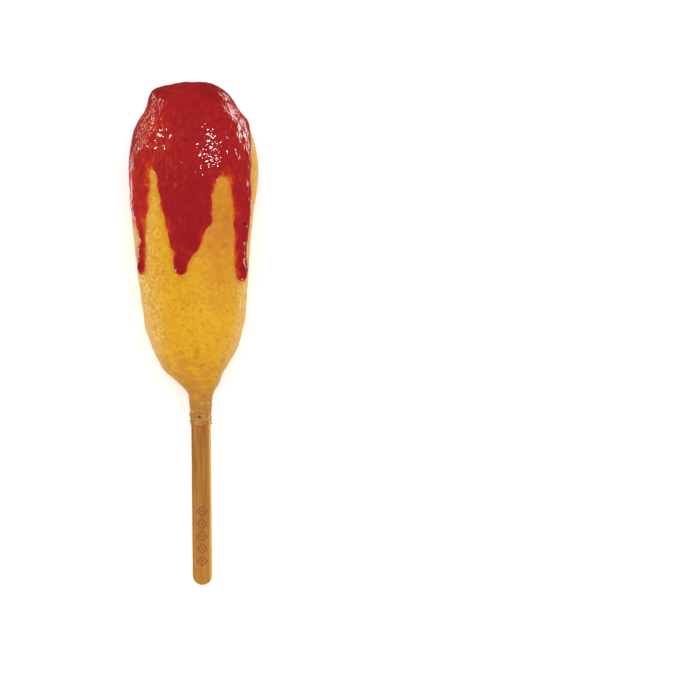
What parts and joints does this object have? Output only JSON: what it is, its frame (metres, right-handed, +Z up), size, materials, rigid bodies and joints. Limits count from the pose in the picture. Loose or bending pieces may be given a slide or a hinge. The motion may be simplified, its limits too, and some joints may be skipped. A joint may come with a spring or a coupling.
{
  "type": "corn dog",
  "caption": "Corn dog on a flat bamboo stick, its fried batter tapering to a collar round the stick, with ketchup run down from the tip, lying on its side.",
  "frame": {"origin": "on the surface the corn dog lies on, under the middle of its bounding box", "axes": "+Z up, through the shown side; +Y along its length towards the ketchup-covered tip; +X to the right seen from above with the tip away from the viewer"},
  "size_m": [0.0438, 0.17, 0.0431],
  "materials": {
    "batter": "golden fried corn batter, matt with a slight sheen of oil",
    "ketchup": "deep red, wet and glossy",
    "bamboo": "planed bamboo with fine lengthwise fibres"
  },
  "bodies": {
    "root": {"batter": "batter", "ketchup": "ketchup", "stick": "bamboo"}
  },
  "joints": []
}
